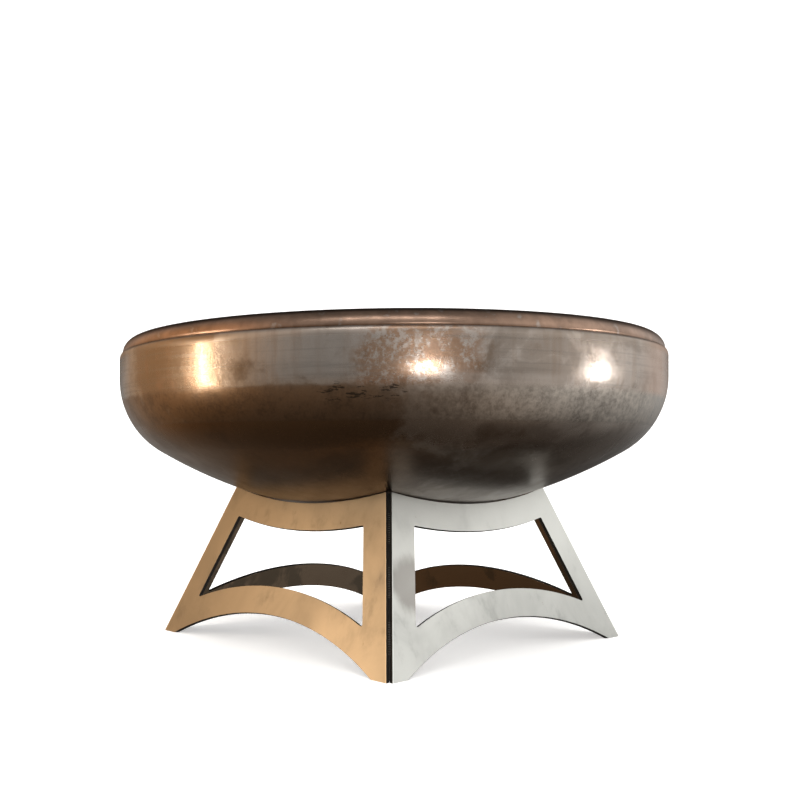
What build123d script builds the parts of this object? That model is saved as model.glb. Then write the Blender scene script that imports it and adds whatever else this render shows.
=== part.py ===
from build123d import *
import math
import os

# Fire pit: a dished steel bowl with a half-pipe rim, welded into a hollow base of four leaning
# cut-plate panels, with a lift-out fire grate inside. Millimetres, +Z up. The origin is on the
# floor under the bowl's centre. The panels face -Y, +X, +Y and -X.

# Bowl: a pressed tank head, outside radii
BOWL_OD = 914.4
BOWL_WALL = 6.35
DISH_R = 766.0
KNUCKLE_R = 137.0
SKIRT_H = 42.6
SHOULDER_H = 10.0
EDGE_LAND = 1.6
DRAIN_D = 38.1
BOWL_UNDERSIDE = 206.8

# Rim: half a pipe rolled into a ring, open side down, welded to the bowl's edge
RIM_PIPE_OD = 50.8
RIM_PIPE_WALL = 4.76
RIM_WELD_H = 5.0

# Base: four panels of cut plate, edge to edge at their inner corners
BASE_WIDTH = 558.8
PANEL_LEAN = 19.6
PLATE = 6.35
FRAME_BAR = 45.0
FOOT_LENGTH = 30.5
ARCH_RISE = 60.5
WINDOW_CORNER_R = 2.5
ARRIS_R = 0.5
SEAT_CLEARANCE = 0.35
SEAT_GAP = 1.8
CORNER_WELD_R = 6.0
CORNER_WELD_LENGTH = 50.0
CORNER_WELD_ENDS = 35.0
CORNER_WELDS = 3
SEAT_WELD_R = 5.0
SEAT_WELD_LENGTH = 45.0
SEAT_WELD_SPACING = 200.0

# Grate: square bars in a ring of flat bar, on two bearers with four legs
GRATE_OD = 609.6
RING_T = 6.35
RING_H = 25.4
RING_ABOVE_DISH = 7.0
GRATE_BAR = 12.7
BAR_COUNT = 11
BEARER_T = 6.35
BEARER_H = 19.05
BEARER_SPACING = 300.0
LEG_D = 15.9
LEG_SPACING = 300.0
LEG_CLEARANCE = 0.3
HANDLE_ROD = 9.5
HANDLE_WIDTH = 110.0
HANDLE_RISE = 60.0
HANDLE_LAP = 20.0
HANDLE_BEND_R = 30.0

# Places worked out from the sizes
BOWL_R = BOWL_OD / 2
DISH_Z = BOWL_UNDERSIDE + DISH_R
KNUCKLE_X = BOWL_R - KNUCKLE_R
KNUCKLE_Z = DISH_Z - math.sqrt((DISH_R - KNUCKLE_R) ** 2 - KNUCKLE_X**2)
BOWL_TOP = KNUCKLE_Z + SKIRT_H
INNER_R = BOWL_R - BOWL_WALL
INNER_DISH_R = DISH_R - BOWL_WALL
RIM_OUTER_R = INNER_R + EDGE_LAND
RIM_PIPE_R = RIM_PIPE_OD / 2
RIM_MID_R = RIM_OUTER_R - RIM_PIPE_R

LEAN = math.radians(PANEL_LEAN)
BASE_HALF = BASE_WIDTH / 2
EDGE_AT_FLOOR = BASE_HALF - PLATE * math.cos(LEAN)
SEAT_CENTRE_W = BASE_HALF * math.sin(LEAN) + DISH_Z * math.cos(LEAN)
SEAT_SECTION_R = math.sqrt(DISH_R**2 - (DISH_Z * math.sin(LEAN) - BASE_HALF * math.cos(LEAN)) ** 2)

GRATE_R = GRATE_OD / 2
RING_INNER_R = GRATE_R - RING_T
BAR_PITCH = 2 * RING_INNER_R / (BAR_COUNT + 1)


def inside_height(radius):
    """Height of the bowl's inner dish surface at this radius."""
    return DISH_Z - math.sqrt(INNER_DISH_R**2 - radius**2)


GRATE_TOP = inside_height(GRATE_R) + RING_ABOVE_DISH + RING_H
BEARER_TOP = GRATE_TOP - GRATE_BAR


def half_wall(outer_r, knuckle_r, dish_r, top):
    """One surface of the bowl as points: dish bottom, middle and end, knuckle middle and end, top."""
    reach = math.atan2(KNUCKLE_X, DISH_Z - KNUCKLE_Z)
    middle = (reach + math.pi / 2) / 2
    bottom = (0, DISH_Z - dish_r)
    dish_mid = (dish_r * math.sin(reach / 2), DISH_Z - dish_r * math.cos(reach / 2))
    tangent = (dish_r * math.sin(reach), DISH_Z - dish_r * math.cos(reach))
    knuckle_mid = (KNUCKLE_X + knuckle_r * math.sin(middle), KNUCKLE_Z - knuckle_r * math.cos(middle))
    return bottom, dish_mid, tangent, knuckle_mid, (outer_r, KNUCKLE_Z), (outer_r, top)


def make_bowl():
    """Skirt, knuckle and dish, with a rounded shoulder at the outer top edge and the drain hole."""
    out = half_wall(BOWL_R, KNUCKLE_R, DISH_R, BOWL_TOP - SHOULDER_H)
    inn = half_wall(INNER_R, KNUCKLE_R - BOWL_WALL, INNER_DISH_R, BOWL_TOP)
    with BuildPart() as bowl:
        with BuildSketch(Plane.XZ):
            with BuildLine():
                ThreePointArc(out[0], out[1], out[2])
                ThreePointArc(out[2], out[3], out[4])
                Line(out[4], out[5])
                TangentArc(out[5], (RIM_OUTER_R, BOWL_TOP), tangent=(0, 1))
                Line((RIM_OUTER_R, BOWL_TOP), inn[5])
                Line(inn[5], inn[4])
                ThreePointArc(inn[4], inn[3], inn[2])
                ThreePointArc(inn[2], inn[1], inn[0])
                Line(inn[0], out[0])
            make_face()
        revolve(axis=Axis.Z)
        with Locations((0, 0, BOWL_UNDERSIDE)):
            Cylinder(DRAIN_D / 2, 4 * BOWL_WALL, mode=Mode.SUBTRACT)
    return bowl.part


def make_rim():
    """The half pipe: its outer leg stands on the land left on the bowl's edge."""
    inner_r = RIM_PIPE_R - RIM_PIPE_WALL
    with BuildPart() as rim:
        with BuildSketch(Plane.XZ):
            with BuildLine():
                ThreePointArc(
                    (RIM_MID_R + RIM_PIPE_R, BOWL_TOP),
                    (RIM_MID_R, BOWL_TOP + RIM_PIPE_R),
                    (RIM_MID_R - RIM_PIPE_R, BOWL_TOP),
                )
                Line((RIM_MID_R - RIM_PIPE_R, BOWL_TOP), (RIM_MID_R - inner_r, BOWL_TOP))
                ThreePointArc(
                    (RIM_MID_R - inner_r, BOWL_TOP),
                    (RIM_MID_R, BOWL_TOP + inner_r),
                    (RIM_MID_R + inner_r, BOWL_TOP),
                )
                Line((RIM_MID_R + inner_r, BOWL_TOP), (RIM_MID_R + RIM_PIPE_R, BOWL_TOP))
            make_face()
        revolve(axis=Axis.Z)
    return rim.part


def make_rim_weld():
    """Fillet bead inside the bowl, under the overhang of the rim's outer leg."""
    overhang = RIM_OUTER_R - RIM_PIPE_WALL
    with BuildPart() as weld:
        with BuildSketch(Plane.XZ):
            with BuildLine():
                Line((INNER_R, BOWL_TOP), (overhang, BOWL_TOP))
                Line((overhang, BOWL_TOP), (INNER_R, BOWL_TOP - RIM_WELD_H))
                Line((INNER_R, BOWL_TOP - RIM_WELD_H), (INNER_R, BOWL_TOP))
            make_face()
        revolve(axis=Axis.Z)
    return weld.part


def on_circle(centre_w, radius, line_s, above):
    """Where the slanted line s + w sin(lean) = line_s meets a circle centred on the panel's middle line."""
    k = math.sin(LEAN)
    a = 1 + k**2
    b = -2 * (line_s * k + centre_w)
    c = line_s**2 + centre_w**2 - radius**2
    root = math.sqrt(b**2 - 4 * a * c)
    w = (-b + root) / (2 * a) if above else (-b - root) / (2 * a)
    return line_s - k * w, w


def arc_through(half_chord, end_w, mid_w):
    """Radius and centre height of the arc through two level ends and a middle point."""
    rise = abs(mid_w - end_w)
    radius = (half_chord**2 + rise**2) / (2 * rise)
    return radius, mid_w + radius if end_w > mid_w else mid_w - radius


def panel_plane():
    """The outer face of the panel that faces -Y: X along the floor, Y up the slope."""
    outward = (0, -math.cos(LEAN), math.sin(LEAN))
    return Plane(origin=(0, -BASE_HALF, 0), x_dir=(1, 0, 0), z_dir=outward)


def panel_outline():
    """The panel's outer edge: side edges on the inner corner lines, seat arc, feet and arch."""
    top_s, top_w = on_circle(SEAT_CENTRE_W, SEAT_SECTION_R + SEAT_CLEARANCE, EDGE_AT_FLOOR, False)
    seat_mid = SEAT_CENTRE_W - SEAT_SECTION_R - SEAT_GAP
    foot_s = EDGE_AT_FLOOR - FOOT_LENGTH
    with BuildSketch() as outline:
        with BuildLine():
            Line((EDGE_AT_FLOOR, 0), (top_s, top_w))
            ThreePointArc((top_s, top_w), (0, seat_mid), (-top_s, top_w))
            Line((-top_s, top_w), (-EDGE_AT_FLOOR, 0))
            Line((-EDGE_AT_FLOOR, 0), (-foot_s, 0))
            ThreePointArc((-foot_s, 0), (0, ARCH_RISE), (foot_s, 0))
            Line((foot_s, 0), (EDGE_AT_FLOOR, 0))
        make_face()
    seat = arc_through(top_s, top_w, seat_mid)
    arch = arc_through(foot_s, 0, ARCH_RISE)
    return outline.sketch, seat, arch


def panel_window(seat, arch):
    """The opening: every side one bar width in from the outline, with small cut corners."""
    side = EDGE_AT_FLOOR - FRAME_BAR * math.sqrt(1 + math.sin(LEAN) ** 2)
    head = on_circle(seat[1], seat[0] + FRAME_BAR, side, False)
    sill = on_circle(arch[1], arch[0] + FRAME_BAR, side, True)
    with BuildSketch() as window:
        with BuildLine():
            ThreePointArc((-head[0], head[1]), (0, seat[1] - seat[0] - FRAME_BAR), head)
            Line(head, sill)
            ThreePointArc(sill, (0, arch[1] + arch[0] + FRAME_BAR), (-sill[0], sill[1]))
            Line((-sill[0], sill[1]), (-head[0], head[1]))
        make_face()
        fillet(window.vertices(), WINDOW_CORNER_R)
    return window.sketch


def make_panel():
    """The panel that faces -Y, cut square to its faces, with its feet flat on the floor."""
    outline, seat, arch = panel_outline()
    face = outline - panel_window(seat, arch)
    plate = extrude(panel_plane() * face, -PLATE)
    below_floor = Pos(0, 0, -BASE_WIDTH / 2) * Box(2 * BASE_WIDTH, 2 * BASE_WIDTH, BASE_WIDTH)
    plate = plate - below_floor
    return fillet(plate.edges().filter_by(lambda e: e.center().Z > PLATE), ARRIS_R)


def inner_corner(height):
    """Half the clear width between the panels' inner faces at this height."""
    return BASE_HALF - PLATE / math.cos(LEAN) - height * math.tan(LEAN)


def make_corner_welds():
    """Stitch beads in the inner corner at +X -Y, from near the floor to near the seat."""
    panel_top = make_panel().bounding_box().max.Z
    low, high = inner_corner(0), inner_corner(panel_top)
    with BuildPart() as inside:
        with BuildSketch():
            Rectangle(2 * low, 2 * low)
        with BuildSketch(Plane.XY.offset(panel_top)):
            Rectangle(2 * high, 2 * high)
        loft()
    start, end = Vector(low, -low, 0), Vector(high, -high, panel_top)
    along = (end - start).normalized()
    first = CORNER_WELD_ENDS + CORNER_WELD_LENGTH / 2
    last = (end - start).length - first
    beads = []
    for i in range(CORNER_WELDS):
        middle = start + along * (first + (last - first) * i / max(CORNER_WELDS - 1, 1))
        bead = Plane(origin=middle, z_dir=along) * Cylinder(CORNER_WELD_R, CORNER_WELD_LENGTH)
        beads.append((bead & inside.part).solid())
    return Compound(children=beads)


def make_seat_welds():
    """Stitch beads under the bowl, along the inner top edge of the panel that faces -Y."""
    seat = panel_outline()[1]
    inner_face = panel_plane().offset(-PLATE)
    keep_out = make_panel() + Pos(0, 0, DISH_Z) * Sphere(DISH_R)
    half = SEAT_WELD_LENGTH / 2
    beads = []
    for side in (-1, 1):
        ends = []
        for s in (-half, 0, half):
            along = side * SEAT_WELD_SPACING / 2 + s
            ends.append((along, seat[1] - math.sqrt(seat[0] ** 2 - along**2)))
        path = inner_face * ThreePointArc(*ends)
        start = Plane(origin=path @ 0, z_dir=path % 0)
        beads.append(sweep(start * Circle(SEAT_WELD_R), path=path) - keep_out)
    return Compound(children=beads)


def make_grate_ring():
    """Flat bar rolled on edge."""
    outer = Cylinder(GRATE_R, RING_H, align=(Align.CENTER, Align.CENTER, Align.MAX))
    inner = Cylinder(RING_INNER_R, 2 * RING_H)
    return Pos(0, 0, GRATE_TOP) * (outer - inner)


def within_ring(bar, z):
    """A straight bar cut off where it meets the ring's inner face."""
    return bar & (Pos(0, 0, z) * Cylinder(RING_INNER_R, 4 * RING_H))


def make_grate_bar(y):
    """One square bar along X, level with the ring's top."""
    bar = Pos(0, y, GRATE_TOP - GRATE_BAR / 2) * Box(GRATE_OD, GRATE_BAR, GRATE_BAR)
    return within_ring(bar, GRATE_TOP)


def make_bearer(x):
    """Flat bar on edge along Y, under the square bars."""
    bar = Pos(x, 0, BEARER_TOP - BEARER_H / 2) * Box(BEARER_T, GRATE_OD, BEARER_H)
    return within_ring(bar, GRATE_TOP)


def make_leg(x, y):
    """Round leg under a bearer, its foot cut to the inside of the dish."""
    top = BEARER_TOP - BEARER_H
    rod = Cylinder(LEG_D / 2, top - BOWL_UNDERSIDE, align=(Align.CENTER, Align.CENTER, Align.MAX))
    leg = Pos(x, y, top) * rod
    dish = Pos(0, 0, DISH_Z) * Sphere(INNER_DISH_R - LEG_CLEARANCE)
    return leg & dish


def make_handle(side):
    """Bent rod loop lapped on the ring's outer face: side is -1 or 1, along X."""
    half = HANDLE_WIDTH / 2
    x = side * math.sqrt((GRATE_R + HANDLE_ROD / 2) ** 2 - half**2)
    low, high = GRATE_TOP - HANDLE_LAP, GRATE_TOP + HANDLE_RISE - HANDLE_ROD / 2
    corners = ((x, -half, low), (x, -half, high), (x, half, high), (x, half, low))
    path = FilletPolyline(*corners, radius=HANDLE_BEND_R)
    rod = Plane(origin=(x, -half, low)) * Circle(HANDLE_ROD / 2)
    return sweep(rod, path=path)


def all_parts():
    """Every sub-part by its node name."""
    parts = {"fire_bowl": make_bowl(), "half_pipe_rim": make_rim(), "rim_inner_weld": make_rim_weld()}
    panel, seat_welds, corner_welds = make_panel(), make_seat_welds(), make_corner_welds()
    for turn, side in enumerate(("front", "right", "back", "left")):
        parts[f"base_panel_{side}"] = Rot(0, 0, 90 * turn) * panel
        parts[f"seat_welds_{side}"] = Rot(0, 0, 90 * turn) * seat_welds
    for turn, corner in enumerate(("front_right", "back_right", "back_left", "front_left")):
        parts[f"corner_welds_{corner}"] = Rot(0, 0, 90 * turn) * corner_welds
    parts["grate_ring"] = make_grate_ring()
    for i in range(BAR_COUNT):
        y = (i - (BAR_COUNT - 1) / 2) * BAR_PITCH
        parts[f"grate_bar_{i + 1:02d}"] = make_grate_bar(y)
    for side, name in ((-1, "left"), (1, "right")):
        parts[f"grate_bearer_{name}"] = make_bearer(side * BEARER_SPACING / 2)
        parts[f"grate_handle_{name}"] = make_handle(side)
        for end, where in ((-1, "front"), (1, "back")):
            parts[f"grate_leg_{where}_{name}"] = make_leg(side * BEARER_SPACING / 2, end * LEG_SPACING / 2)
    return parts


def main():
    os.makedirs("parts", exist_ok=True)
    for name, shape in all_parts().items():
        export_step(shape, f"parts/{name}.step")


main()
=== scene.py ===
import math

import bmesh
import bpy
from bpy.props import FloatProperty, FloatVectorProperty, IntProperty, PointerProperty
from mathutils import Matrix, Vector


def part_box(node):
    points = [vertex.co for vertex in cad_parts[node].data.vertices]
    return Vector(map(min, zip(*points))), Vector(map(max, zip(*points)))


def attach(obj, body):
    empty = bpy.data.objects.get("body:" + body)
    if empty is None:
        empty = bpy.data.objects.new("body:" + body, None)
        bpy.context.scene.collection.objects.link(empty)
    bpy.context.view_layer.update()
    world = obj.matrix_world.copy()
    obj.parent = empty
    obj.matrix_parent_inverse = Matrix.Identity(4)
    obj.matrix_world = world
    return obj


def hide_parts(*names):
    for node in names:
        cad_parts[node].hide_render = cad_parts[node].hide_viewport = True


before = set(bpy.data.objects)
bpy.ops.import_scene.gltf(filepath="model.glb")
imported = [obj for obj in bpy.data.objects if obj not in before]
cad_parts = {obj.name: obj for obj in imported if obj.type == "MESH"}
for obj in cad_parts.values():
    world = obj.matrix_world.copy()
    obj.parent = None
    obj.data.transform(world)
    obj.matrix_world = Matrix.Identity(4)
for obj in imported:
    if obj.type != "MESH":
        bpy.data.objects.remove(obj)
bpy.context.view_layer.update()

bl_info = {
    "name": "Fire pit",
    "version": (1, 0, 0),
    "blender": (4, 5, 0),
    "location": "View3D > Sidebar > Fire pit",
    "description": "Steel fire bowl on a hollow base of cut plate, with a lift-out grate",
    "category": "Add Mesh",
}

BASE_BODY = "fire_pit"
GRATE_BODY = "grate"
# For each panel: its tint (the warm film is painted warm light), how much painted light makes it
# paler at its top, and the way it faces.
PANEL_TINTS = {"front": "film", "right": "plate", "back": "plate", "left": "film"}
PANEL_PAINTED_TOP_LIGHT = {"front": 0.1, "right": 0.62, "back": 0.62, "left": 0.1}
PANEL_SIDES = {"front": (0, -1), "right": (1, 0), "back": (0, 1), "left": (-1, 0)}
BOWL_LOW, BOWL_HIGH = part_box("fire_bowl")
RIM_LOW, RIM_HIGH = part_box("half_pipe_rim")
PANEL_LOW, PANEL_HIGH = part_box("base_panel_front")
RING_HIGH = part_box("grate_ring")[1]
FOLD = math.radians(40)  # a turned piece's edges look sharp past this angle


# --- sizes and colours -------------------------------------------------------------------------


def length(name, text, default):
    return FloatProperty(
        name=name, description=text, default=default, min=0.0, unit="LENGTH", precision=4
    )


def colour(name, text, default):
    return FloatVectorProperty(
        name=name, description=text, default=default, size=3, min=0.0, max=1.0, subtype="COLOR"
    )


class BowlSizes(bpy.types.PropertyGroup):
    radius: length("Radius", "Outside radius of the skirt", min(BOWL_HIGH.x, -BOWL_LOW.x))
    underside: length("Underside", "Height of the dish's lowest point", BOWL_LOW.z)
    top: length("Top", "Height of the bowl's edge", BOWL_HIGH.z)
    wall: length("Wall", "Thickness of the pressed steel", 0.00635)
    dish_radius: length("Dish radius", "Outside radius of the shallow dish", 0.766)
    knuckle_radius: length("Knuckle radius", "Outside radius between dish and skirt", 0.137)
    shoulder: length("Shoulder", "Height of the rounded outer edge at the top", 0.010)
    land: length("Land", "Flat left on the bowl's edge for the rim", 0.0016)
    drain_radius: length("Drain radius", "Radius of the rain drain", 0.01905)
    segments: IntProperty(name="Segments", description="Faces round the bowl", default=288, min=32)


class RimSizes(bpy.types.PropertyGroup):
    outer_radius: length("Outer radius", "Radius over the rim", RIM_HIGH.x)
    bottom: length("Bottom", "Height of the rim's cut edges", RIM_LOW.z)
    pipe_radius: length("Pipe radius", "Outside radius of the half pipe", RIM_HIGH.z - RIM_LOW.z)
    pipe_wall: length("Pipe wall", "Thickness of the half pipe", 0.00476)
    turned_in: length("Turned-in edge", "Height of the rounding at the pipe's lower edges", 0.0036)
    lip_depth: length("Lip depth", "How far the lower edges turn in", 0.0020)
    segments: IntProperty(name="Segments", description="Faces round the rim", default=288, min=32)


class BaseSizes(bpy.types.PropertyGroup):
    plate: length("Plate", "Thickness of the panels", 0.00635)
    lean: FloatProperty(
        name="Lean",
        description="How far the panels lean in",
        default=math.radians(19.6),
        subtype="ANGLE",
    )
    corner_reach: length("Corner reach", "From a panel's middle to its edge at the floor", 0.27342)
    corner_weld: length("Corner weld", "Length of each bead in the base's corners", 0.05)
    corner_weld_ends: length("Corner weld ends", "Bare length past the first and last bead", 0.035)
    seat_weld: length("Seat weld", "Length of each bead under the bowl", 0.045)
    seat_weld_spacing: length("Seat weld spacing", "Distance between a panel's two beads", 0.2)


class WeldSizes(bpy.types.PropertyGroup):
    structure: length("Structure bead", "Radius of the beads in the base", 0.0042)
    root: length("Root bead", "Radius of the bead that closes each corner", 0.0016)
    rim: length("Rim bead", "Radius of the bead under the rim", 0.003)
    grate: length("Grate bead", "Radius of the beads on the grate", 0.0026)
    ripple: length("Ripple", "Distance between two ripples of a bead", 0.0034)


class SteelColours(bpy.types.PropertyGroup):
    bare: colour("Bare steel", "Silver-grey patches on the bowl and the rim", (0.55, 0.49, 0.445))
    brown: colour("Brown patina", "Warm brown film over most of the bowl", (0.27, 0.185, 0.125))
    golden: colour("Golden patina", "Paler brown on the bowl's left side", (0.33, 0.255, 0.195))
    burnt: colour("Burnt patina", "Deep brown below the skirt on the left", (0.25, 0.150, 0.080))
    copper: colour("Copper patina", "Reddish streaks in the film", (0.47, 0.285, 0.19))
    mill: colour("Mill band", "Pale grain of the band between skirt and dish", (0.50, 0.445, 0.39))
    # On the bowl's underside this near-black is partly mill scale and partly painted shade, not
    # soot.
    scale: colour("Mill scale", "Dark flecks and the soot on the underside", (0.055, 0.040, 0.030))
    # This warm tint on the front and left panels is painted warm light: they are the same steel as
    # the other two.
    film: colour("Plate film", "Straw film on the front and left panels", (0.56, 0.462, 0.335))
    plate: colour("Plate", "Satin plate of the right and back panels", (0.55, 0.55, 0.525))
    cut: colour("Cut edge", "Oxidised edges where the plate was cut", (0.012, 0.009, 0.007))
    rim: colour("Rim", "Copper-brown film on the rim", (0.40, 0.26, 0.19))
    grate: colour("Grate", "Dark scale on the grate's bars", (0.10, 0.092, 0.088))
    weld: colour("Weld", "Weld beads", (0.24, 0.22, 0.21))


class StudioSettings(bpy.types.PropertyGroup):
    floor: colour("Floor", "Pale studio floor", (0.86, 0.86, 0.86))
    lamp: colour("Lamp", "Strip light on the left", (1.0, 0.86, 0.68))
    warm: colour("Warm room", "Room light from the left and from low down", (1.0, 0.63, 0.34))
    neutral: colour("Neutral light", "Every light but the one on the left", (1.0, 0.99, 0.97))
    radius: length("Studio radius", "Distance to the studio's wall", 6.0)


# --- shader maths --------------------------------------------------------------------------------


class Value:
    """A node's output that can be used in Python expressions. Each operation adds one node."""

    def __init__(self, shader, socket):
        self.shader = shader
        self.socket = socket

    def maths(self, operation, first, second=0.0, clamp=False):
        settings = {"operation": operation, "use_clamp": clamp}
        return self.shader.add("ShaderNodeMath", settings, {0: first, 1: second})

    def __add__(self, other):
        return self.maths("ADD", self, other)

    def __radd__(self, other):
        return self.maths("ADD", other, self)

    def __sub__(self, other):
        return self.maths("SUBTRACT", self, other)

    def __rsub__(self, other):
        return self.maths("SUBTRACT", other, self)

    def __mul__(self, other):
        return self.maths("MULTIPLY", self, other)

    def __rmul__(self, other):
        return self.maths("MULTIPLY", other, self)

    def __abs__(self):
        return self.maths("ABSOLUTE", self)

    def held(self):
        """The value kept between 0 and 1."""
        return self.maths("ADD", self, 0.0, clamp=True)

    def step(self, low, high):
        """0 below low, 1 above high, smooth between. With low over high it falls instead."""
        inputs = {"Value": self, "From Min": low, "From Max": high}
        return self.shader.add("ShaderNodeMapRange", {"interpolation_type": "SMOOTHSTEP"}, inputs)


class Shader:
    """One material, or the world, being built node by node."""

    def __init__(self, owner):
        owner.use_nodes = True
        self.owner = owner
        self.tree = owner.node_tree
        self.tree.nodes.clear()

    def add(self, kind, settings=None, inputs=None, out=0):
        node = self.tree.nodes.new(kind)
        for name, value in (settings or {}).items():
            if name == "stops":
                self.set_stops(node.color_ramp, value)
            else:
                setattr(node, name, value)
        for name, value in (inputs or {}).items():
            if isinstance(value, Value):
                self.tree.links.new(value.socket, node.inputs[name])
            else:
                node.inputs[name].default_value = value
        return Value(self, node.outputs[out])

    @staticmethod
    def set_stops(ramp, stops):
        while len(ramp.elements) < len(stops):
            ramp.elements.new(0.5)
        for element, (place, shade) in zip(ramp.elements, stops):
            element.position = place
            element.color = shade

    def place(self):
        """The point on the piece, in metres, in the frame that all pieces share."""
        return self.add("ShaderNodeTexCoord", out="Object")

    def dot(self, first, second):
        settings = {"operation": "DOT_PRODUCT"}
        return self.add("ShaderNodeVectorMath", settings, {0: first, 1: second}, out="Value")

    def facing(self, direction):
        """How much the surface faces a direction: 1 towards it, -1 away."""
        return self.dot(self.add("ShaderNodeTexCoord", out="Normal"), direction)

    def side(self, azimuth, low, high):
        """1 on the side of the piece that looks towards an azimuth in degrees, fading to 0."""
        inputs = {0: self.place(), 1: (1, 1, 0)}
        flat = self.add("ShaderNodeVectorMath", {"operation": "MULTIPLY"}, inputs)
        outward = self.add("ShaderNodeVectorMath", {"operation": "NORMALIZE"}, {0: flat})
        a = math.radians(azimuth)
        return self.dot(outward, (math.cos(a), math.sin(a), 0)).step(low, high)

    def near(self, point, reach):
        """1 at a point, fading to 0 at a distance."""
        settings = {"operation": "DISTANCE"}
        away = self.add("ShaderNodeVectorMath", settings, {0: self.place(), 1: point}, out="Value")
        return away.step(reach, 0.0)

    def height(self):
        return self.add("ShaderNodeSeparateXYZ", None, {0: self.place()}, out="Z")

    def noise(self, scale, stretch=(1, 1, 1), shift=(0, 0, 0), detail=4.0, rough=0.55, bend=0.0):
        """Fractal noise from 0 to 1 at a scale per metre, stretched along X, Y and Z."""
        point = self.add(
            "ShaderNodeMapping", {"vector_type": "POINT"},
            {"Vector": self.place(), "Location": shift, "Scale": stretch},
        )
        inputs = {"Vector": point, "Scale": scale, "Detail": detail}
        inputs |= {"Roughness": rough, "Distortion": bend}
        return self.add("ShaderNodeTexNoise", {"normalize": True}, inputs)

    def blend(self, factor, first, second):
        """A colour from first, at factor 0, to second, at factor 1."""
        inputs = {0: factor, 6: rgba(first), 7: rgba(second)}
        return self.add("ShaderNodeMix", {"data_type": "RGBA", "clamp_factor": True}, inputs, out=2)

    def bump(self, height, distance, normal=None):
        inputs = {"Height": height, "Distance": distance, "Strength": 1.0}
        if normal:
            inputs["Normal"] = normal
        return self.add("ShaderNodeBump", None, inputs)

    def surface(self, **sockets):
        """The metal itself. Names are the shader's own, with an underscore for a space."""
        inputs = {name.replace("_", " "): value for name, value in sockets.items()}
        shader = self.add("ShaderNodeBsdfPrincipled", None, inputs)
        self.add_output("ShaderNodeOutputMaterial", shader)
        return self.owner

    def add_output(self, kind, shader):
        output = self.tree.nodes.new(kind)
        self.tree.links.new(shader.socket, output.inputs["Surface"])


def rgba(value):
    return value if isinstance(value, Value) else (*value[:3], 1.0)


def times(factor, shade):
    """A colour made darker, or paler with a factor over 1."""
    return [factor * c for c in shade]


def new_shader(name):
    return Shader(bpy.data.materials.new(name))


# --- finishes ------------------------------------------------------------------------------------


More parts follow.
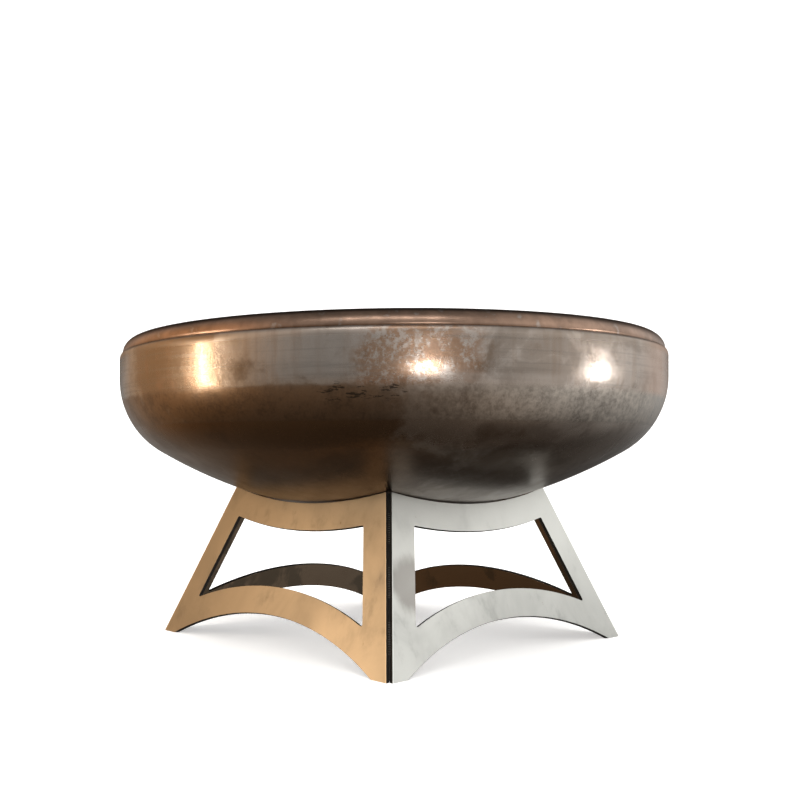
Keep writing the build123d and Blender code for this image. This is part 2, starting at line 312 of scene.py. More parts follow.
def bowl_steel(colours, sizes):
    """Pressed steel under a thin brown film: silver patches, copper streaks, dark flecks below."""
    s = new_shader("bowl_patina")
    height = s.height()
    knuckle = knuckle_height(sizes)

    def below(none, full):
        """0 at one depth under the skirt's lower end, and 1 at another."""
        return height.step(knuckle - none, knuckle - full)

    skirt = below(0.040, 0.028)
    dish = below(0.076, 0.081)
    belt = 1 - (skirt + dish).held()
    deep = below(0.085, 0.125)
    under = below(0.06, 0.17)
    bright_side = s.side(-2, 0.62, 0.97)
    brown_side = s.side(-95, 0.42, 0.90)
    grey_side = s.side(-61, 0.945, 0.985) * skirt
    copper_side = s.side(-40, 0.972, 0.993) * skirt
    dull_end = s.side(-125, 0.86, 0.965) * skirt
    shoulder = height.step(sizes.top - 0.014, sizes.top - 0.006)

    clouds = s.noise(5.0, shift=(0.3, 0, 0), detail=6.0, rough=0.6, bend=0.8)
    patches = s.noise(13.0, stretch=(1, 1, 1.3), shift=(5, 2, 0), detail=6.0, rough=0.57, bend=0.5)
    mottle = s.noise(34.0, stretch=(1, 1, 0.8), shift=(2, 0, 5), detail=7.0, rough=0.68)
    streaks = s.noise(75.0, stretch=(1, 1, 0.08), shift=(0, 3, 1), detail=5.0, rough=0.6)
    rolled = s.noise(9.0, stretch=(0.5, 0.5, 20.0), shift=(4, 1, 2), detail=6.0, rough=0.6)
    pitted = s.noise(150.0, shift=(1, 1, 1), detail=6.0, rough=0.78)
    fine = s.noise(330.0, stretch=(1, 1, 0.6), detail=3.0)

    worn = clouds * 0.55 + patches * 0.75 + mottle * 0.25 + 0.24 * bright_side - 0.15 * brown_side
    worn = worn + 0.33 * grey_side - 0.24 * copper_side - 0.10 * deep + 0.24 * dull_end
    bare = worn.step(0.74, 0.94)
    dapple = (mottle * 0.6 + fine * 0.4).step(0.38, 0.66)
    film = s.blend(dapple, colours.brown, times(0.66, colours.brown))
    film = s.blend(brown_side * skirt * 0.75, film, colours.golden)
    film = s.blend(brown_side * (1 - skirt) * (0.50 + 0.35 * dish), film, colours.burnt)
    stained = (streaks * 0.40 + mottle * 0.55 + patches * 0.3 + 0.32 * copper_side).step(0.58, 0.92)
    film = s.blend(stained * (0.15 + 0.52 * skirt), film, colours.copper)
    tone = s.blend(bare * (0.50 + 0.4 * mottle), film, colours.bare)
    tone = s.blend(rolled.step(0.48, 0.66) * skirt * 0.42, tone, times(0.5, colours.bare))
    runs = (streaks * 0.7 + mottle * 0.4).step(0.52, 0.72)
    tone = s.blend(runs * skirt * 0.35, tone, colours.brown)
    speckled = (pitted * 0.7 + mottle * 0.5).step(0.57, 0.68) * copper_side
    tone = s.blend(speckled * 0.8, tone, colours.bare)
    smear = below(0.038, 0.030) * below(0.014, 0.022)
    smear = smear * s.side(-27, 0.965, 0.995) * (0.4 + mottle).held()
    tone = s.blend(smear * 0.6, tone, times(1.25, colours.bare))
    smoky = (patches * 0.6 + clouds * 0.6 - 0.10 * bright_side).step(0.55, 0.46)
    tone = s.blend(smoky * 0.40, tone, times(0.5, colours.brown))
    mill = (pitted * 0.75 + mottle * 0.35 + streaks * 0.25).step(0.52, 0.84)
    ground = s.blend(mill, times(0.42, colours.mill), colours.mill)
    tone = s.blend(belt * (0.10 + 0.74 * bright_side), tone, ground)
    dusky = (mottle * 0.6 + pitted * 0.5 - 0.12 * bright_side).step(0.52, 0.66)
    tone = s.blend(dusky * belt * 0.55, tone, times(0.40, colours.brown))
    tone = s.blend(s.side(30, 0.90, 0.99) * skirt * 0.8, tone, colours.copper)
    # Painted shade, partly mill scale: the bowl's underside darkens towards near-black.
    tone = s.blend(under * 0.72, tone, colours.scale)

    flecks = s.noise(48.0, stretch=(1, 1, 4.5), shift=(1, 7, 3.3), detail=6.0, rough=0.72)
    fleck_belt = below(0.058, 0.050) * below(0.026, 0.034)
    marks = (flecks + 0.14 * s.side(-50, 0.983, 0.996)).step(0.708, 0.726) * fleck_belt
    specks = (pitted + 0.2 * clouds).step(0.80, 0.86)
    tone = s.blend(marks * 0.8, tone, times(0.3, colours.scale))
    tone = s.blend(specks * 0.6, tone, colours.scale)

    gloss = 0.14 + 0.20 * mottle + 0.06 * streaks - 0.03 * bare + 0.25 * marks + 0.08 * under
    gloss = gloss + 0.10 * belt * bright_side * mill + 0.05 * belt + 0.16 * (rolled - 0.5) * skirt
    gloss = gloss + 0.14 * shoulder
    waves = s.bump(s.noise(8.0, detail=1.0), 0.0016)
    dents = s.bump(s.noise(55.0, detail=4.0) + 0.35 * streaks, 0.00022, waves)
    pits = s.bump(pitted * belt, 0.00012, dents)
    grain = s.bump(fine, 0.00003, pits)
    return s.surface(Base_Color=tone, Metallic=1.0, Roughness=gloss.held(), Normal=grain)


def rim_steel(colours, top):
    """The same film on rolled pipe, more even and more copper, with a painted dark top."""
    s = new_shader("rim_patina")
    clouds = s.noise(6.0, detail=4.0, bend=0.4)
    mottle = s.noise(45.0, shift=(3, 1, 0), detail=5.0, rough=0.6)
    fine = s.noise(350.0, detail=3.0)
    dapple = (clouds * 0.6 + mottle * 0.5).step(0.42, 0.7)
    tone = s.blend(dapple, colours.rim, times(0.55, colours.rim))
    tone = s.blend((mottle + 0.3 * clouds).step(0.72, 0.86) * 0.5, tone, colours.bare)
    # Painted shade: the rim's top is darkened where it mirrors the dark room above.
    painted_dark_top = s.height().step(top - 0.006, top - 0.002)
    tone = s.blend(painted_dark_top * 0.45, tone, times(0.3, colours.rim))
    gloss = 0.22 + 0.16 * mottle + 0.06 * clouds
    dents = s.bump(s.noise(60.0, detail=3.0), 0.0002)
    grain = s.bump(fine, 0.00003, dents)
    return s.surface(Base_Color=tone, Metallic=1.0, Roughness=gloss, Normal=grain)


def plate_steel(colours, sizes, side, outward):
    """Satin plate with faint mill marks, dark where it was cut, and painted light and shade. One
    for each panel.
    """
    s = new_shader(f"plate_{side}")
    x, y = outward
    facing = s.facing((x * math.cos(sizes.lean), y * math.cos(sizes.lean), math.sin(sizes.lean)))
    face = abs(facing).step(0.75, 0.93)
    inside = facing.step(0.0, -0.5)
    shift = (7 * x, 5 * y, x - y)
    clouds = s.noise(8.0, shift=shift, detail=5.0, rough=0.6, bend=0.5)
    smudge = s.noise(22.0, shift=shift, stretch=(1, 1, 0.5), detail=6.0, rough=0.65)
    grain = s.noise(420.0, detail=3.0)
    specks = s.noise(120.0, shift=shift, detail=2.0)
    # A paler strip along each panel's corner edges: partly a ground edge, partly a painted
    # highlight.
    reach = abs(s.dot(s.place(), (y, x, 0))) + s.height() * math.tan(sizes.lean)
    ground = reach.step(sizes.corner_reach - 0.0024, sizes.corner_reach - 0.0014)

    # Painted warm light: the panels facing the warm light take the warmer film tint.
    steel = getattr(colours, PANEL_TINTS[side])
    tone = s.blend(clouds.step(0.35, 0.72), steel, times(0.80, steel))
    tone = s.blend((smudge + 0.3 * clouds).step(0.70, 0.88) * 0.45, tone, times(0.45, steel))
    tone = s.blend((specks * 0.8 + smudge * 0.35).step(0.795, 0.84) * 0.7, tone, (0.20, 0.11, 0.06))
    # Painted light: each panel grows paler towards its top.
    tone = s.blend(s.height().step(0.03, 0.22) * PANEL_PAINTED_TOP_LIGHT[side], tone, times(1.5, steel))
    stain_place = (sizes.corner_reach - 0.045, -sizes.corner_reach + 0.085, 0.12)
    stain = s.near(stain_place, reach=0.075)
    stain = (stain * 1.3 + smudge - 0.75).step(0.0, 0.6)
    tone = s.blend(stain * 0.6, tone, times(0.42, colours.bare))
    # Painted shade: the base's front-left corner is darkened.
    tone = s.blend(s.side(-135, 0.72, 0.99) * 0.32, tone, times(0.5, steel))
    # Painted highlight: a paler patch low down near the front-right corner.
    foot = s.side(-58, 0.972, 0.997) * s.height().step(0.12, 0.03)
    tone = s.blend(foot * 0.45, tone, times(1.5, steel))
    # Partly ground edge, partly painted highlight along the corner edges.
    tone = s.blend(ground, tone, times(1.35, steel))
    # Painted shade: the panels' inner faces are darkened to dark brown.
    patchy = clouds.step(0.47, 0.52)
    inside_painted_shade = s.blend(patchy, times(0.25, colours.brown), times(0.62, colours.brown))
    tone = s.blend(inside * 0.85, tone, inside_painted_shade)
    tone = s.blend(1 - face, tone, colours.cut)
    gloss = 0.43 + 0.12 * clouds + 0.10 * smudge + 0.08 * (1 - face) - 0.30 * inside
    relief = s.bump(s.noise(70.0, detail=4.0), 0.00012)
    relief = s.bump(grain, 0.00003, relief)
    return s.surface(Base_Color=tone, Metallic=0.35 + 0.65 * face, Roughness=gloss, Normal=relief)


def joint_scorch_and_shade_steel(colours):
    """Scorched metal at the bottom of a joint, made near-black partly as painted shade in the
    groove.
    """
    s = new_shader("scorched_joint")
    soot = s.noise(140.0, detail=4.0)
    tone = s.blend(soot.step(0.35, 0.7), colours.cut, times(1.8, colours.cut))
    return s.surface(Base_Color=tone, Metallic=0.2, Roughness=0.7 + 0.2 * soot)


def weld_steel(colours):
    """Bead metal with a straw and blue heat tint."""
    s = new_shader("weld_bead")
    tint = s.noise(90.0, detail=3.0)
    tone = s.blend(tint.step(0.4, 0.65), colours.weld, (0.19, 0.15, 0.11))
    tone = s.blend(tint.step(0.62, 0.74) * 0.6, tone, (0.12, 0.13, 0.17))
    return s.surface(Base_Color=tone, Metallic=1.0, Roughness=0.38 + 0.2 * tint)


def grate_steel(colours):
    """Hot-rolled bar with its scale on, worn at random."""
    s = new_shader("grate_scale")
    clouds = s.noise(14.0, detail=5.0, rough=0.6)
    pits = s.noise(160.0, detail=4.0, rough=0.65)
    tone = s.blend(clouds.step(0.4, 0.68), colours.grate, times(1.9, colours.grate))
    tone = s.blend((pits + 0.3 * clouds).step(0.70, 0.85) * 0.6, tone, (0.20, 0.12, 0.08))
    relief = s.bump(s.noise(40.0, detail=3.0), 0.0002)
    relief = s.bump(pits, 0.00012, relief)
    return s.surface(Base_Color=tone, Metallic=0.9, Roughness=0.42 + 0.22 * pits, Normal=relief)


# --- shared making -------------------------------------------------------------------------------


def finish_piece(piece, body, replaced=()):
    """Ties a finished piece to its body and hides the CAD nodes it stands for."""
    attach(piece, body)
    if replaced:
        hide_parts(*replaced)


def link_mesh(name, mesh):
    piece = bpy.data.objects.new(name, mesh)
    bpy.context.scene.collection.objects.link(piece)
    return piece


def arc(centre, radius, start, end, count):
    """Points of an arc, without its first. Its angles are measured from straight down."""
    steps = [start + (end - start) * i / count for i in range(1, count + 1)]
    return [(centre[0] + radius * math.sin(a), centre[1] - radius * math.cos(a)) for a in steps]


def line(start, end, count):
    """Points along a straight line, without its first point."""
    mix = [i / count for i in range(1, count + 1)]
    return [(start[0] + (end[0] - start[0]) * t, start[1] + (end[1] - start[1]) * t) for t in mix]


def turned(outline, segments, closed):
    """A bmesh of an outline in radius and height, turned once about Z."""
    bm = bmesh.new()
    rings = []
    for i in range(segments):
        a = 2 * math.pi * i / segments
        rings.append([bm.verts.new((r * math.cos(a), r * math.sin(a), z)) for r, z in outline])
    for ring, following in zip(rings, rings[1:] + rings[:1]):
        for k in range(0 if closed else 1, len(outline)):
            bm.faces.new((ring[k - 1], following[k - 1], following[k], ring[k]))
    return bm


def smooth_mesh(name, bm):
    mesh = bpy.data.meshes.new(name)
    bm.to_mesh(mesh)
    bm.free()
    mesh.shade_smooth()
    return mesh


def turned_mesh(name, outline, segments):
    """A closed outline turned once about Z, as a mesh whose faces point outwards."""
    bm = turned(outline, segments, closed=True)
    bmesh.ops.recalc_face_normals(bm, faces=bm.faces)
    mesh = smooth_mesh(name, bm)
    mesh.set_sharp_from_angle(angle=FOLD)
    return mesh


def knuckle_height(sizes):
    """Where the rounded knuckle ends and the upright skirt begins."""
    knuckle_x = sizes.radius - sizes.knuckle_radius
    rise = math.sqrt((sizes.dish_radius - sizes.knuckle_radius) ** 2 - knuckle_x**2)
    return sizes.underside + sizes.dish_radius - rise


def bowl_outline(sizes):
    """The bowl's wall as one closed outline: outside from the drain up, over the edge, and back."""
    dish_steps, knuckle_steps, skirt_steps, shoulder_steps = 26, 20, 4, 8
    dish_z = sizes.underside + sizes.dish_radius
    knuckle_x = sizes.radius - sizes.knuckle_radius
    knuckle_z = knuckle_height(sizes)
    tangent = math.atan2(knuckle_x, dish_z - knuckle_z)
    inner_radius = sizes.radius - sizes.wall
    shoulder_low = (sizes.radius, sizes.top - sizes.shoulder)
    shoulder_top = (inner_radius + sizes.land, sizes.top)
    reach = shoulder_low[0] - shoulder_top[0]
    quarter = [math.pi / 2 * i / shoulder_steps for i in range(1, shoulder_steps + 1)]

    outer_start = math.asin(sizes.drain_radius / sizes.dish_radius)
    inner_dish = sizes.dish_radius - sizes.wall
    inner_end = math.asin(sizes.drain_radius / inner_dish)
    points = [(sizes.drain_radius, dish_z - sizes.dish_radius * math.cos(outer_start))]
    points += arc((0, dish_z), sizes.dish_radius, outer_start, tangent, dish_steps)
    knuckle = (knuckle_x, knuckle_z)
    points += arc(knuckle, sizes.knuckle_radius, tangent, math.pi / 2, knuckle_steps)
    points += line((sizes.radius, knuckle_z), shoulder_low, skirt_steps)
    for a in quarter:
        r = shoulder_low[0] - reach * (1 - math.cos(a))
        points.append((r, shoulder_low[1] + sizes.shoulder * math.sin(a)))
    points += line(shoulder_top, (inner_radius, sizes.top), 1)
    points += line((inner_radius, sizes.top), (inner_radius, knuckle_z), skirt_steps)
    inner_knuckle = sizes.knuckle_radius - sizes.wall
    points += arc(knuckle, inner_knuckle, math.pi / 2, tangent, knuckle_steps)
    points += arc((0, dish_z), inner_dish, tangent, inner_end, dish_steps)
    return points


def rim_outline(sizes):
    """Section of the half pipe: from one turned-in lower edge over the top, and back inside."""
    lip_steps, crown_steps, bore_steps = 6, 28, 24
    middle = sizes.outer_radius - sizes.pipe_radius
    inner = sizes.pipe_radius - sizes.pipe_wall
    low = sizes.bottom
    start = math.asin(sizes.turned_in / sizes.pipe_radius)
    side = middle + sizes.pipe_radius * math.cos(start)
    outside = []
    for i in range(lip_steps):
        a = math.pi / 2 * i / lip_steps
        r = side - sizes.lip_depth * (1 - math.sin(a))
        outside.append((r, low + sizes.turned_in * (1 - math.cos(a))))
    for i in range(crown_steps + 1):
        a = start + (math.pi - 2 * start) * i / crown_steps
        r = middle + sizes.pipe_radius * math.cos(a)
        outside.append((r, low + sizes.pipe_radius * math.sin(a)))
    outside += [(2 * middle - r, z) for r, z in reversed(outside[:lip_steps])]
    half = [math.pi * i / bore_steps for i in range(bore_steps + 1)]
    inside = [(middle + inner * math.cos(a), low + inner * math.sin(a)) for a in reversed(half)]
    return outside + inside


def path_mesh(name, runs, closed=False):
    """Weld routes as edges: each run is a list of points."""
    vertices = [p for run in runs for p in run]
    edges = []
    start = 0
    for run in runs:
        edges += [(start + i, start + i + 1) for i in range(len(run) - 1)]
        if closed:
            edges.append((start + len(run) - 1, start))
        start += len(run)
    mesh = bpy.data.meshes.new(name)
    mesh.from_pydata(vertices, edges, [])
    return mesh


def bead_tree():
    """Geometry nodes that lay a rippled weld bead along every edge route."""
    tree = bpy.data.node_groups.new("weld_bead_along_route", "GeometryNodeTree")
    sockets = {"Geometry": "Geometry", "Bead radius": "Float"}
    sockets |= {"Ripple": "Float", "Material": "Material"}
    for name, kind in sockets.items():
        tree.interface.new_socket(name, in_out="INPUT", socket_type=f"NodeSocket{kind}")
    tree.interface.new_socket("Geometry", in_out="OUTPUT", socket_type="NodeSocketGeometry")
    nodes, links = tree.nodes, tree.links
    steps_per_ripple = 4
    ripple_depth = 0.10
    faces_round = 10

    def add(kind, settings=None, inputs=None):
        node = nodes.new(kind)
        for name, value in (settings or {}).items():
            setattr(node, name, value)
        for name, value in (inputs or {}).items():
            if isinstance(value, bpy.types.NodeSocket):
                links.new(value, node.inputs[name])
            else:
                node.inputs[name].default_value = value
        return node.outputs[0]

    def maths(operation, *values):
        return add("ShaderNodeMath", {"operation": operation}, dict(enumerate(values)))

    given = nodes.new("NodeGroupInput").outputs
    spacing = maths("DIVIDE", given["Ripple"], float(steps_per_ripple))
    curve = add("GeometryNodeMeshToCurve", None, {"Mesh": given["Geometry"]})
    points = {"Curve": curve, "Length": spacing}
    even = add("GeometryNodeResampleCurve", {"mode": "LENGTH"}, points)
    phase = maths("MULTIPLY", add("GeometryNodeInputIndex"), math.pi / steps_per_ripple)
    crest = maths("ABSOLUTE", maths("SINE", phase))
    swell = maths("MULTIPLY_ADD", crest, ripple_depth, 1.0 - ripple_depth)
    sized = add("GeometryNodeSetCurveRadius", None, {"Curve": even, "Radius": swell})
    circle = {"Resolution": faces_round, "Radius": given["Bead radius"]}
    section = add("GeometryNodeCurvePrimitiveCircle", {"mode": "RADIUS"}, circle)
    shape = {"Curve": sized, "Profile Curve": section, "Scale": swell, "Fill Caps": True}
    bead = add("GeometryNodeCurveToMesh", None, shape)
    real = add("GeometryNodeRealizeInstances", None, {"Geometry": bead})
    paint = {"Geometry": real, "Material": given["Material"]}
    painted = add("GeometryNodeSetMaterial", None, paint)
    links.new(painted, nodes.new("NodeGroupOutput").inputs[0])
    return tree


def lay_beads(name, routes, radius, ripple, material, closed=False):
    """A plain mesh of rippled beads along routes, made by the bead tree."""
    tree = bpy.data.node_groups.get("weld_bead_along_route") or bead_tree()
    guide = link_mesh(name + "_route", path_mesh(name + "_route", routes, closed))
    modifier = guide.modifiers.new("beads", "NODES")
    modifier.node_group = tree
    given = {"Bead radius": radius, "Ripple": ripple, "Material": material}
    for item in tree.interface.items_tree:
        if item.in_out == "INPUT" and item.name in given:
            modifier[item.identifier] = given[item.name]
    graph = bpy.context.evaluated_depsgraph_get()
    mesh = bpy.data.meshes.new_from_object(guide.evaluated_get(graph))
    guide.modifiers.remove(modifier)
    bpy.data.objects.remove(guide)
    mesh.name = name
    mesh.shade_smooth()
    return link_mesh(name, mesh)


def quarter_turns(point, turn):
    """The point turned about Z by a number of quarter turns."""
    x, y, z = point
    for _ in range(turn):
        x, y = -y, x
    return (x, y, z)


def settings():
    return bpy.context.scene.fire_pit


# --- operators -----------------------------------------------------------------------------------


class FIREPIT_OT_bowl(bpy.types.Operator):
    """Makes the pressed bowl with its rounded shoulder and drain"""

    bl_idname = "firepit.bowl"
    bl_label = "Bowl"

    def execute(self, context):
        sizes = settings().bowl
        mesh = turned_mesh("pressed_bowl", bowl_outline(sizes), sizes.segments)
        mesh.materials.append(bowl_steel(settings().colours, sizes))
        finish_piece(link_mesh("pressed_bowl", mesh), BASE_BODY, ["fire_bowl"])
        return {"FINISHED"}


class FIREPIT_OT_rim(bpy.types.Operator):
    """Makes the half-pipe rim and the bead that holds it"""

    bl_idname = "firepit.rim"
    bl_label = "Rim"

    def execute(self, context):
        sizes, bowl, welds = settings().rim, settings().bowl, settings().welds
        mesh = turned_mesh("rolled_rim", rim_outline(sizes), sizes.segments)
        mesh.materials.append(rim_steel(settings().colours, sizes.bottom + sizes.pipe_radius))
        finish_piece(link_mesh("rolled_rim", mesh), BASE_BODY, ["half_pipe_rim"])

        # The bead's middle stands a little off the bowl's wall and below its edge.
        radius = bowl.radius - bowl.wall - 0.3 * welds.rim
        height = bowl.top - 0.5 * welds.rim
        count = 240
        turn = [2 * math.pi * i / count for i in range(count)]
        route = [(radius * math.cos(a), radius * math.sin(a), height) for a in turn]
        steel = weld_steel(settings().colours)
        bead = lay_beads("rim_bead", [route], welds.rim, welds.ripple, steel, closed=True)
        finish_piece(bead, BASE_BODY, ["rim_inner_weld"])
        return {"FINISHED"}


class FIREPIT_OT_base(bpy.types.Operator):
    """Finishes the four plate panels and lays the beads inside the base"""

    bl_idname = "firepit.base"
    bl_label = "Base"

    def execute(self, context):
        for side, outward in PANEL_SIDES.items():
            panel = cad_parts[f"base_panel_{side}"]
            steel = plate_steel(settings().colours, settings().base, side, outward)
            for slot in panel.material_slots:
                slot.material = steel
        self.corner_beads()
        self.seat_beads()
        return {"FINISHED"}

    def corner_beads(self):
        """Three beads inside each corner, and a thin near-black one down the corner's joint, partly
        painted shade.
        """
        base, welds = settings().base, settings().welds
        root_setback, bead_trim = 0.003, 0.02
        steel, scorch_and_shade = bpy.data.materials["weld_bead"], joint_scorch_and_shade_steel(settings().colours)
        inward = base.plate / math.cos(base.lean) + 0.5 * welds.structure
        low = -PANEL_LOW.y - inward
        high = low - PANEL_HIGH.z * math.tan(base.lean)
        start, end = Vector((low, -low, 0)), Vector((high, -high, PANEL_HIGH.z))
        run = (end - start).length
        along = (end - start).normalized()
        corners = ("front_right", "back_right", "back_left", "front_left")
        root = Vector((low, -low, 0)) + Vector((1, -1, 0)) * 0.5 * welds.structure
        root_ends = [root + along * root_setback, root + along * (run - root_setback)]
        spread = run - 2 * base.corner_weld_ends - base.corner_weld
        for turn, corner in enumerate(corners):
            routes = []
            for share in (0.0, 0.5, 1.0):
                first = base.corner_weld_ends + share * spread
                trimmed = (bead_trim, 1 - bead_trim)
                ends = [start + along * (first + base.corner_weld * t) for t in trimmed]
                routes.append([quarter_turns(p, turn) for p in ends])
            bead = lay_beads(f"corner_beads_{corner}", routes, welds.structure, welds.ripple, steel)
            finish_piece(bead, BASE_BODY, [f"corner_welds_{corner}"])
            # Painted shade, partly scorch: the root bead is near-black to darken the corner's
            # groove.
            route = [quarter_turns(p, turn) for p in root_ends]
            bead = lay_beads(f"corner_root_{corner}", [route], welds.root, welds.ripple, scorch_and_shade)
            finish_piece(bead, BASE_BODY)

    def seat_beads(self):
        """Two beads inside each panel's top edge, curved to follow the bowl's underside."""
        base, welds, bowl = settings().base, settings().welds, settings().bowl
        steps = 8
        steel = bpy.data.materials["weld_bead"]
        dish_z = bowl.underside + bowl.dish_radius
        half_base = -PANEL_LOW.y
        inner = half_base - base.plate / math.cos(base.lean)
        touch = bowl.dish_radius + 0.45 * welds.structure
        for turn, side in enumerate(PANEL_SIDES):
            routes = []
            for sign in (-1, 1):
                points = []
                for i in range(steps + 1):
                    x = sign * base.seat_weld_spacing / 2 + base.seat_weld * (i / steps - 0.5)
                    point = self.under_bowl(x, inner, touch, dish_z, base.lean)
                    points.append(quarter_turns(point, turn))
                routes.append(points)
            bead = lay_beads(f"seat_beads_{side}", routes, welds.structure, welds.ripple, steel)
            finish_piece(bead, BASE_BODY, [f"seat_welds_{side}"])

    @staticmethod
    def under_bowl(x, inner, touch, dish_z, lean):
        """Where the panel's inner face meets a sphere just outside the dish."""
        k = math.tan(lean)
        a = 1 + k * k
        b = -2 * (inner * k + dish_z)
        c = inner**2 + dish_z**2 + x**2 - touch**2
        z = (-b - math.sqrt(b * b - 4 * a * c)) / (2 * a)
        return (x, -(inner - k * z), z)


class FIREPIT_OT_grate(bpy.types.Operator):
    """Finishes the grate's bars and lays the beads that hold it together"""

    bl_idname = "firepit.grate"
    bl_label = "Grate"

    def execute(self, context):
        steel = grate_steel(settings().colours)
        for name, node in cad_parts.items():
            if name.startswith("grate_"):
                for slot in node.material_slots:
                    slot.material = steel
        welds = settings().welds
        bead_steel = bpy.data.materials["weld_bead"]
        bead = lay_beads("grate_beads", self.routes(), welds.grate, welds.ripple, bead_steel)
        finish_piece(bead, GRATE_BODY)
        return {"FINISHED"}

    @staticmethod
    def routes():
        """Short beads under each bar's ends and on the bearers, and up the handles' ends."""
        bar_setback, handle_setback, handle_rod = 0.0015, 0.002, 0.00475
        routes = []
        bars = sorted(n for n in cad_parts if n.startswith("grate_bar_"))
        bearers = sorted(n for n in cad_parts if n.startswith("grate_bearer_"))
        for bar in bars:
            low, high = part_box(bar)
            places = [x - math.copysign(bar_setback, x) for x in (low.x, high.x)]
            places += [corner.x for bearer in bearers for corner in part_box(bearer)]
            for x in places:
                routes.append([(x, low.y + bar_setback, low.z), (x, high.y - bar_setback, low.z)])
        for handle in ("grate_handle_left", "grate_handle_right"):
            low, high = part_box(handle)
            foot, head = low.z + handle_setback, RING_HIGH.z - handle_setback
            for middle in (low.y + handle_rod, high.y - handle_rod):
                for y in (middle - 0.8 * handle_rod, middle + 0.8 * handle_rod):
                    x = math.copysign(math.sqrt(RING_HIGH.x**2 - y**2), low.x)
                    routes.append([(x, y, foot), (x, y, head)])
        return routes


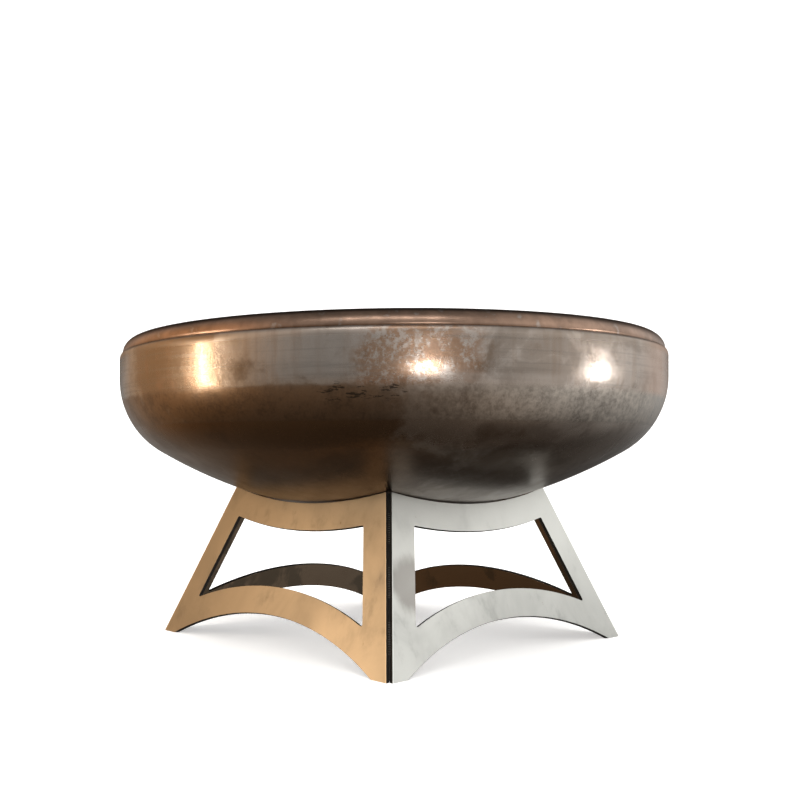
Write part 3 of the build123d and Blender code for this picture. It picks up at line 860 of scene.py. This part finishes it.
class FIREPIT_OT_studio(bpy.types.Operator):
    """Makes the floor and wall, the lights and the camera"""

    bl_idname = "firepit.studio"
    bl_label = "Studio"

    def execute(self, context):
        studio = settings().studio
        self.sweep(studio)
        self.sky(studio)
        # Each light's place, its width and height, its power in watts and its colour.
        self.softbox("left_light", (-0.431, -1.244, 0.38), (0.075, 0.52), 3.5, studio.lamp)
        self.softbox("front_light", (1.173, -0.771, 0.36), (0.065, 0.18), 1.3, studio.neutral)
        self.softbox("right_light", (1.143, 0.599, 0.39), (0.09, 0.20), 1.6, studio.neutral)
        self.softbox("rim_light", (1.15, -1.15, 2.0), (1.6, 0.14), 6.5, studio.neutral)
        overhead = self.softbox("top_light", (0, 0, 3.4), (3.6, 3.6), 190.0, studio.neutral)
        overhead.visible_glossy = False
        self.camera()
        context.scene.view_settings.view_transform = "Standard"
        return {"FINISHED"}

    def sweep(self, studio):
        """A floor that curves up into a round wall. Polished metal doesn't mirror it."""
        bend, wall_top = 1.6, 4.5
        flat = studio.radius - bend
        outline = [(0.0, 0.0)] + line((0.0, 0.0), (flat, 0.0), 12)
        outline += arc((flat, bend), bend, 0, math.pi / 2, 16)
        outline += line((studio.radius, bend), (studio.radius, wall_top), 4)
        bm = turned(outline, 96, closed=False)
        bmesh.ops.remove_doubles(bm, verts=bm.verts, dist=1e-5)
        mesh = smooth_mesh("studio_sweep", bm)
        s = new_shader("studio_floor")
        shade = (*studio.floor, 1.0)
        mesh.materials.append(
            s.surface(Base_Color=shade, Roughness=0.9, Emission_Color=shade, Emission_Strength=0.5)
        )
        stage = link_mesh("studio_sweep", mesh)
        stage.visible_glossy = False

    def sky(self, studio):
        """A dim room: brightest a little way up, warm on the left and low down, dark behind."""
        world = bpy.data.worlds.new("studio_room")
        bpy.context.scene.world = world
        s = Shader(world)
        direction = s.add("ShaderNodeTexCoord", out="Generated")
        up = s.add("ShaderNodeSeparateXYZ", None, {0: direction}, out="Z")
        # Brightness at each elevation in degrees.
        levels = [
            (-90, 0.08), (-44, 0.15), (-27, 0.31), (-10, 0.33), (0, 0.33), (6, 0.36),
            (15, 0.46), (27, 0.56), (45, 0.40), (62, 0.28), (90, 0.20),
        ]
        stops = [(0.5 + 0.5 * math.sin(math.radians(e)), (v, v, v, 1)) for e, v in levels]
        level = s.add("ShaderNodeValToRGB", {"stops": stops}, {0: up * 0.5 + 0.5})

        def towards(azimuth, elevation, low, high):
            """1 in a direction in degrees, fading to 0 around it."""
            a, e = math.radians(azimuth), math.radians(elevation)
            aim = (math.cos(a) * math.cos(e), math.sin(a) * math.cos(e), math.sin(e))
            return s.dot(direction, aim).step(low, high)

        left, right = towards(-140, 5, 0.50, 0.95), towards(55, 10, 0.15, 0.85)
        behind, low_left = towards(134, 34, 0.66, 0.88), towards(150, -8, 0.94, 0.99)
        low_right, mill_glow = towards(112, -30, 0.84, 0.97), towards(23, -33, 0.88, 0.995)
        glow = (0.85 * left + 1.35 * right) * up.step(-0.65, -0.15)
        shadow = 0.40 * left * up.step(-0.25, -0.62)
        strength = level * (1.0 + glow - shadow) * (1.0 - 0.97 * behind) * (1.0 - 0.68 * low_right)
        strength = strength + 0.08 * low_left + 0.36 * mill_glow
        low = up.step(-0.15, -0.50) * (1 - right)
        shade = s.blend((left + 0.55 * low).held(), (0.98, 0.98, 0.96), studio.warm)
        light = s.add("ShaderNodeBackground", None, {"Color": shade, "Strength": strength})
        s.add_output("ShaderNodeOutputWorld", light)

    def softbox(self, name, place, size, power, shade):
        """A rectangular light that faces the bowl's axis, level unless it hangs higher."""
        lamp = bpy.data.lights.new(name, "AREA")
        lamp.shape = "RECTANGLE"
        lamp.size, lamp.size_y = size
        lamp.energy = power
        lamp.color = shade
        light = bpy.data.objects.new(name, lamp)
        light.location = place
        highest_aim = 0.4
        aim = Vector((0, 0, min(place[2], highest_aim))) - light.location
        light.rotation_euler = aim.to_track_quat("-Z", "Y").to_euler()
        light.visible_camera = False
        bpy.context.scene.collection.objects.link(light)
        return light

    def camera(self):
        data = bpy.data.cameras.new("camera")
        data.sensor_width = 36.0
        data.lens = 45.1
        data.shift_x = 0.120
        data.shift_y = 0.070
        camera = bpy.data.objects.new("camera", data)
        camera.location = (1.2256, -1.2383, 0.3059)
        camera.rotation_euler = (math.pi / 2, 0, math.radians(49.49))
        bpy.context.scene.collection.objects.link(camera)
        bpy.context.scene.camera = camera


# --- panel and registration ----------------------------------------------------------------------


class FirePitSettings(bpy.types.PropertyGroup):
    bowl: PointerProperty(type=BowlSizes, name="Bowl", description="Sizes of the bowl")
    rim: PointerProperty(type=RimSizes, name="Rim", description="Sizes of the rim")
    base: PointerProperty(type=BaseSizes, name="Base", description="Sizes of the base")
    welds: PointerProperty(type=WeldSizes, name="Welds", description="Sizes of the weld beads")
    colours: PointerProperty(type=SteelColours, name="Colours", description="Colours of the steel")
    studio: PointerProperty(type=StudioSettings, name="Studio", description="Floor and lights")


OPERATORS = (FIREPIT_OT_bowl, FIREPIT_OT_rim, FIREPIT_OT_base, FIREPIT_OT_grate, FIREPIT_OT_studio)


class FIREPIT_PT_panel(bpy.types.Panel):
    """Lists the fire pit's pieces"""

    bl_idname = "FIREPIT_PT_panel"
    bl_label = "Fire pit"
    bl_space_type = "VIEW_3D"
    bl_region_type = "UI"
    bl_category = "Fire pit"

    def draw(self, context):
        for operator in OPERATORS:
            self.layout.operator(operator.bl_idname)
        for group in ("bowl", "rim", "base", "welds", "colours", "studio"):
            box = self.layout.box()
            values = getattr(context.scene.fire_pit, group)
            for name in values.__annotations__:
                box.prop(values, name)


GROUPS = (BowlSizes, RimSizes, BaseSizes, WeldSizes, SteelColours, StudioSettings, FirePitSettings)
CLASSES = GROUPS + OPERATORS + (FIREPIT_PT_panel,)


def register():
    for cls in CLASSES:
        bpy.utils.register_class(cls)
    bpy.types.Scene.fire_pit = PointerProperty(type=FirePitSettings)


def unregister():
    del bpy.types.Scene.fire_pit
    for cls in reversed(CLASSES):
        bpy.utils.unregister_class(cls)


def main():
    register()
    bpy.ops.firepit.bowl()
    bpy.ops.firepit.rim()
    bpy.ops.firepit.base()
    bpy.ops.firepit.grate()
    bpy.ops.firepit.studio()


if __name__ == "__main__":
    main()
